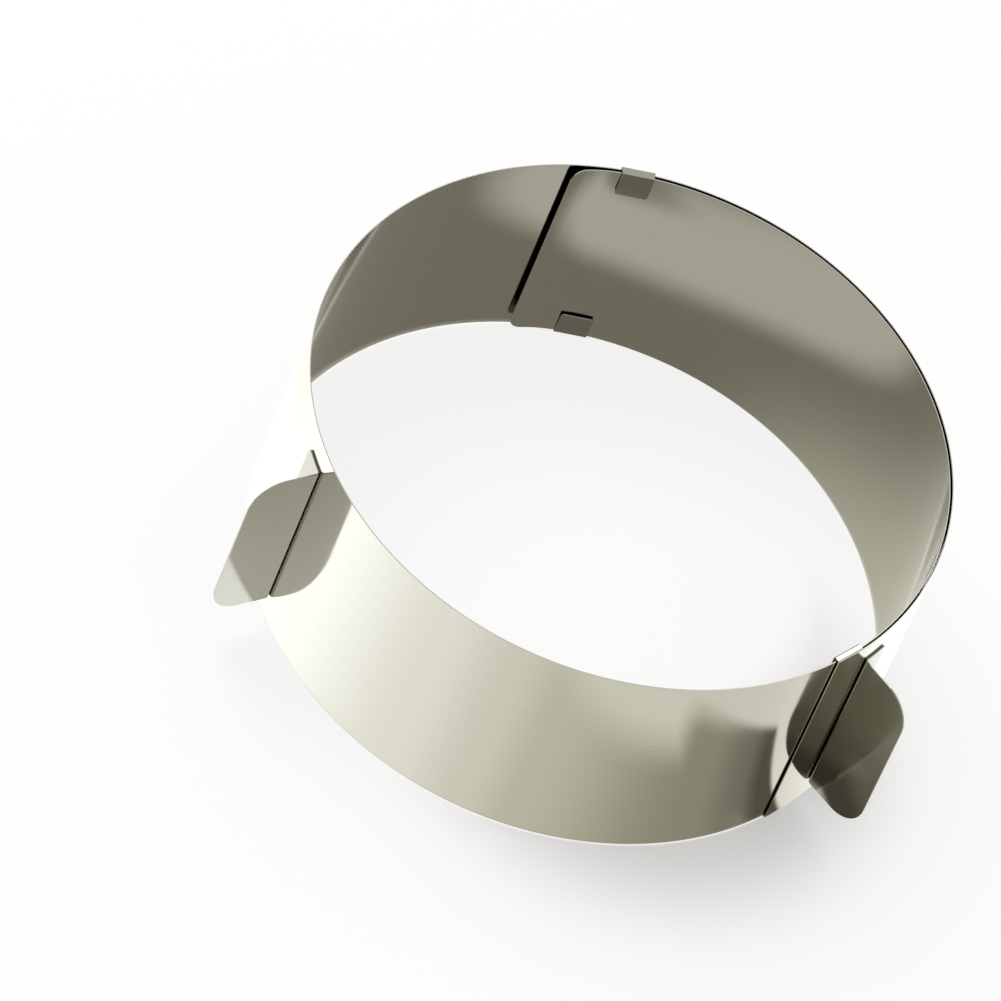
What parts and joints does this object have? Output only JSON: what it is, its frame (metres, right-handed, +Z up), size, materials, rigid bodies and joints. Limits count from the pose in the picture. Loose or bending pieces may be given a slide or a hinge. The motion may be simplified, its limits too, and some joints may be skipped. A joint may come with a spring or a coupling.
{
  "type": "adjustable cake ring",
  "caption": "Adjustable cake ring: one springy stainless strip wound over itself, hooked over its own rims at both ends, with two wing handles that squeeze it narrower.",
  "frame": {"origin": "below the middle of the ring and its handles, at the underside of the bottom hooks, which the ring stands on", "axes": "+Z up along the axis of the ring, -Y towards the front, which is half way between the two handles, +X towards the handle at the outer end of the strip"},
  "size_m": [0.2286, 0.2212, 0.0864],
  "materials": {
    "strip_steel": "polished stainless sheet, finely brushed along the strip",
    "handle_steel": "polished stainless sheet",
    "clip_steel": "polished stainless sheet"
  },
  "bodies": {
    "strip_01": {"band_segment_01": "strip_steel", "free_end_top_clip": "clip_steel", "free_end_bottom_clip": "clip_steel"},
    "strip_02": {"band_segment_02": "strip_steel"},
    "strip_03": {"band_segment_03": "strip_steel"},
    "strip_04": {"band_segment_04": "strip_steel"},
    "strip_05": {"band_segment_05": "strip_steel"},
    "strip_06": {"band_segment_06": "strip_steel"},
    "strip_07": {"band_segment_07": "strip_steel"},
    "strip_08": {"band_segment_08": "strip_steel"},
    "strip_09": {"band_segment_09": "strip_steel"},
    "strip_10": {"band_segment_10": "strip_steel"},
    "strip_11": {"band_segment_11": "strip_steel"},
    "strip_12": {"band_segment_12": "strip_steel"},
    "strip_13": {"band_segment_13": "strip_steel"},
    "strip_14": {"band_segment_14": "strip_steel"},
    "strip_15": {"band_segment_15": "strip_steel"},
    "strip_16": {"band_segment_16": "strip_steel"},
    "strip_17": {"band_segment_17": "strip_steel", "left_handle": "handle_steel"},
    "strip_18": {"band_segment_18": "strip_steel"},
    "strip_19": {"band_segment_19": "strip_steel"},
    "strip_20": {"band_segment_20": "strip_steel"},
    "strip_21": {"band_segment_21": "strip_steel"},
    "strip_22": {"band_segment_22": "strip_steel"},
    "strip_23": {"band_segment_23": "strip_steel"},
    "strip_24": {"band_segment_24": "strip_steel"},
    "strip_25": {"band_segment_25": "strip_steel"},
    "strip_26": {"band_segment_26": "strip_steel"},
    "strip_27": {"band_segment_27": "strip_steel"},
    "strip_28": {"band_segment_28": "strip_steel"},
    "strip_29": {"band_segment_29": "strip_steel"},
    "strip_30": {"band_segment_30": "strip_steel"},
    "strip_31": {"band_segment_31": "strip_steel"},
    "strip_32": {"band_segment_32": "strip_steel", "right_handle": "handle_steel"}
  },
  "joints": [
    {"name": "ring_diameter", "type": "hinge", "parent": "strip_17", "child": "strip_18", "pos_m": [-0.10472, -0.0364, 0.0007], "axis": [0, 0, -1], "range_deg": [-4.22, 6.05]},
    {"name": "bend_19", "type": "hinge", "parent": "strip_18", "child": "strip_19", "pos_m": [-0.11067, -0.0063, 0.0007], "axis": [0, 0, -1], "range_deg": [-4.27, 6.09]},
    {"name": "bend_20", "type": "hinge", "parent": "strip_19", "child": "strip_20", "pos_m": [-0.10811, 0.02427, 0.0007], "axis": [0, 0, -1], "range_deg": [-4.26, 6.08]},
    {"name": "bend_21", "type": "hinge", "parent": "strip_20", "child": "strip_21", "pos_m": [-0.09724, 0.05297, 0.0007], "axis": [0, 0, -1], "range_deg": [-4.25, 6.07]},
    {"name": "bend_22", "type": "hinge", "parent": "strip_21", "child": "strip_22", "pos_m": [-0.07891, 0.07757, 0.0007], "axis": [0, 0, -1], "range_deg": [-4.25, 6.06]},
    {"name": "bend_23", "type": "hinge", "parent": "strip_22", "child": "strip_23", "pos_m": [-0.05452, 0.09618, 0.0007], "axis": [0, 0, -1], "range_deg": [-4.24, 6.05]},
    {"name": "bend_24", "type": "hinge", "parent": "strip_23", "child": "strip_24", "pos_m": [-0.02595, 0.10739, 0.0007], "axis": [0, 0, -1], "range_deg": [-4.24, 6.04]},
    {"name": "bend_25", "type": "hinge", "parent": "strip_24", "child": "strip_25", "pos_m": [0.00459, 0.11032, 0.0007], "axis": [0, 0, -1], "range_deg": [-4.23, 6.03]},
    {"name": "bend_26", "type": "hinge", "parent": "strip_25", "child": "strip_26", "pos_m": [0.03476, 0.10477, 0.0007], "axis": [0, 0, -1], "range_deg": [-4.22, 6.02]},
    {"name": "bend_27", "type": "hinge", "parent": "strip_26", "child": "strip_27", "pos_m": [0.06226, 0.09116, 0.0007], "axis": [0, 0, -1], "range_deg": [-4.22, 6.01]},
    {"name": "bend_28", "type": "hinge", "parent": "strip_27", "child": "strip_28", "pos_m": [0.08498, 0.07053, 0.0007], "axis": [0, 0, -1], "range_deg": [-4.21, 6]},
    {"name": "bend_29", "type": "hinge", "parent": "strip_28", "child": "strip_29", "pos_m": [0.10118, 0.04448, 0.0007], "axis": [0, 0, -1], "range_deg": [-4.2, 5.99]},
    {"name": "bend_30", "type": "hinge", "parent": "strip_29", "child": "strip_30", "pos_m": [0.10963, 0.01498, 0.0007], "axis": [0, 0, -1], "range_deg": [-4.2, 5.99]},
    {"name": "bend_31", "type": "hinge", "parent": "strip_30", "child": "strip_31", "pos_m": [0.10969, -0.0157, 0.0007], "axis": [0, 0, -1], "range_deg": [-4.19, 5.98]},
    {"name": "bend_32", "type": "hinge", "parent": "strip_31", "child": "strip_32", "pos_m": [0.10137, -0.04523, 0.0007], "axis": [0, 0, -1], "range_deg": [-4.18, 5.97]},
    {"name": "bend_16", "type": "hinge", "parent": "strip_17", "child": "strip_16", "pos_m": [-0.09071, -0.0637, 0.0007], "axis": [0, 0, 1], "range_deg": [-4.28, 6.11]},
    {"name": "bend_15", "type": "hinge", "parent": "strip_16", "child": "strip_15", "pos_m": [-0.06973, -0.08608, 0.0007], "axis": [0, 0, 1], "range_deg": [-4.29, 6.12]},
    {"name": "bend_14", "type": "hinge", "parent": "strip_15", "child": "strip_14", "pos_m": [-0.04338, -0.10181, 0.0007], "axis": [0, 0, 1], "range_deg": [-4.29, 6.12]},
    {"name": "bend_13", "type": "hinge", "parent": "strip_14", "child": "strip_13", "pos_m": [-0.01373, -0.10967, 0.0007], "axis": [0, 0, 1], "range_deg": [-4.3, 6.13]},
    {"name": "bend_12", "type": "hinge", "parent": "strip_13", "child": "strip_12", "pos_m": [0.01695, -0.10903, 0.0007], "axis": [0, 0, 1], "range_deg": [-4.31, 6.14]},
    {"name": "bend_11", "type": "hinge", "parent": "strip_12", "child": "strip_11", "pos_m": [0.04626, -0.09996, 0.0007], "axis": [0, 0, 1], "range_deg": [-4.31, 6.15]},
    {"name": "bend_10", "type": "hinge", "parent": "strip_11", "child": "strip_10", "pos_m": [0.07192, -0.08314, 0.0007], "axis": [0, 0, 1], "range_deg": [-4.32, 6.16]},
    {"name": "bend_09", "type": "hinge", "parent": "strip_10", "child": "strip_09", "pos_m": [0.09193, -0.05989, 0.0007], "axis": [0, 0, 1], "range_deg": [-4.33, 6.17]},
    {"name": "bend_08", "type": "hinge", "parent": "strip_09", "child": "strip_08", "pos_m": [0.10473, -0.032, 0.0007], "axis": [0, 0, 1], "range_deg": [-4.33, 6.18]},
    {"name": "bend_07", "type": "hinge", "parent": "strip_08", "child": "strip_07", "pos_m": [0.10932, -0.00167, 0.0007], "axis": [0, 0, 1], "range_deg": [-4.34, 6.19]},
    {"name": "bend_06", "type": "hinge", "parent": "strip_07", "child": "strip_06", "pos_m": [0.10533, 0.02875, 0.0007], "axis": [0, 0, 1], "range_deg": [-4.35, 6.2]},
    {"name": "bend_05", "type": "hinge", "parent": "strip_06", "child": "strip_05", "pos_m": [0.09307, 0.05688, 0.0007], "axis": [0, 0, 1], "range_deg": [-4.35, 6.21]},
    {"name": "bend_04", "type": "hinge", "parent": "strip_05", "child": "strip_04", "pos_m": [0.0735, 0.0805, 0.0007], "axis": [0, 0, 1], "range_deg": [-4.36, 6.22]},
    {"name": "bend_03", "type": "hinge", "parent": "strip_04", "child": "strip_03", "pos_m": [0.04814, 0.09777, 0.0007], "axis": [0, 0, 1], "range_deg": [-4.37, 6.23]},
    {"name": "bend_02", "type": "hinge", "parent": "strip_03", "child": "strip_02", "pos_m": [0.01899, 0.10733, 0.0007], "axis": [0, 0, 1], "range_deg": [-4.37, 6.24]},
    {"name": "bend_01", "type": "hinge", "parent": "strip_02", "child": "strip_01", "pos_m": [-0.01167, 0.10842, 0.0007], "axis": [0, 0, 1], "range_deg": [-4.38, 6.25]}
  ],
  "couplings": [
    {"joint": "bend_19", "follows": "ring_diameter", "ratio": 0.99846},
    {"joint": "bend_20", "follows": "ring_diameter", "ratio": 0.99692},
    {"joint": "bend_21", "follows": "ring_diameter", "ratio": 0.99538},
    {"joint": "bend_22", "follows": "ring_diameter", "ratio": 0.99383},
    {"joint": "bend_23", "follows": "ring_diameter", "ratio": 0.99229},
    {"joint": "bend_24", "follows": "ring_diameter", "ratio": 0.99075},
    {"joint": "bend_25", "follows": "ring_diameter", "ratio": 0.98921},
    {"joint": "bend_26", "follows": "ring_diameter", "ratio": 0.98767},
    {"joint": "bend_27", "follows": "ring_diameter", "ratio": 0.98613},
    {"joint": "bend_28", "follows": "ring_diameter", "ratio": 0.98459},
    {"joint": "bend_29", "follows": "ring_diameter", "ratio": 0.98304},
    {"joint": "bend_30", "follows": "ring_diameter", "ratio": 0.9815},
    {"joint": "bend_31", "follows": "ring_diameter", "ratio": 0.97996},
    {"joint": "bend_32", "follows": "ring_diameter", "ratio": 0.97842},
    {"joint": "bend_16", "follows": "ring_diameter", "ratio": 1.0015},
    {"joint": "bend_15", "follows": "ring_diameter", "ratio": 1.0031},
    {"joint": "bend_14", "follows": "ring_diameter", "ratio": 1.0046},
    {"joint": "bend_13", "follows": "ring_diameter", "ratio": 1.0062},
    {"joint": "bend_12", "follows": "ring_diameter", "ratio": 1.0077},
    {"joint": "bend_11", "follows": "ring_diameter", "ratio": 1.0092},
    {"joint": "bend_10", "follows": "ring_diameter", "ratio": 1.0108},
    {"joint": "bend_09", "follows": "ring_diameter", "ratio": 1.0123},
    {"joint": "bend_08", "follows": "ring_diameter", "ratio": 1.0139},
    {"joint": "bend_07", "follows": "ring_diameter", "ratio": 1.0154},
    {"joint": "bend_06", "follows": "ring_diameter", "ratio": 1.017},
    {"joint": "bend_05", "follows": "ring_diameter", "ratio": 1.0185},
    {"joint": "bend_04", "follows": "ring_diameter", "ratio": 1.02},
    {"joint": "bend_03", "follows": "ring_diameter", "ratio": 1.0216},
    {"joint": "bend_02", "follows": "ring_diameter", "ratio": 1.0231},
    {"joint": "bend_01", "follows": "ring_diameter", "ratio": 1.0247}
  ]
}
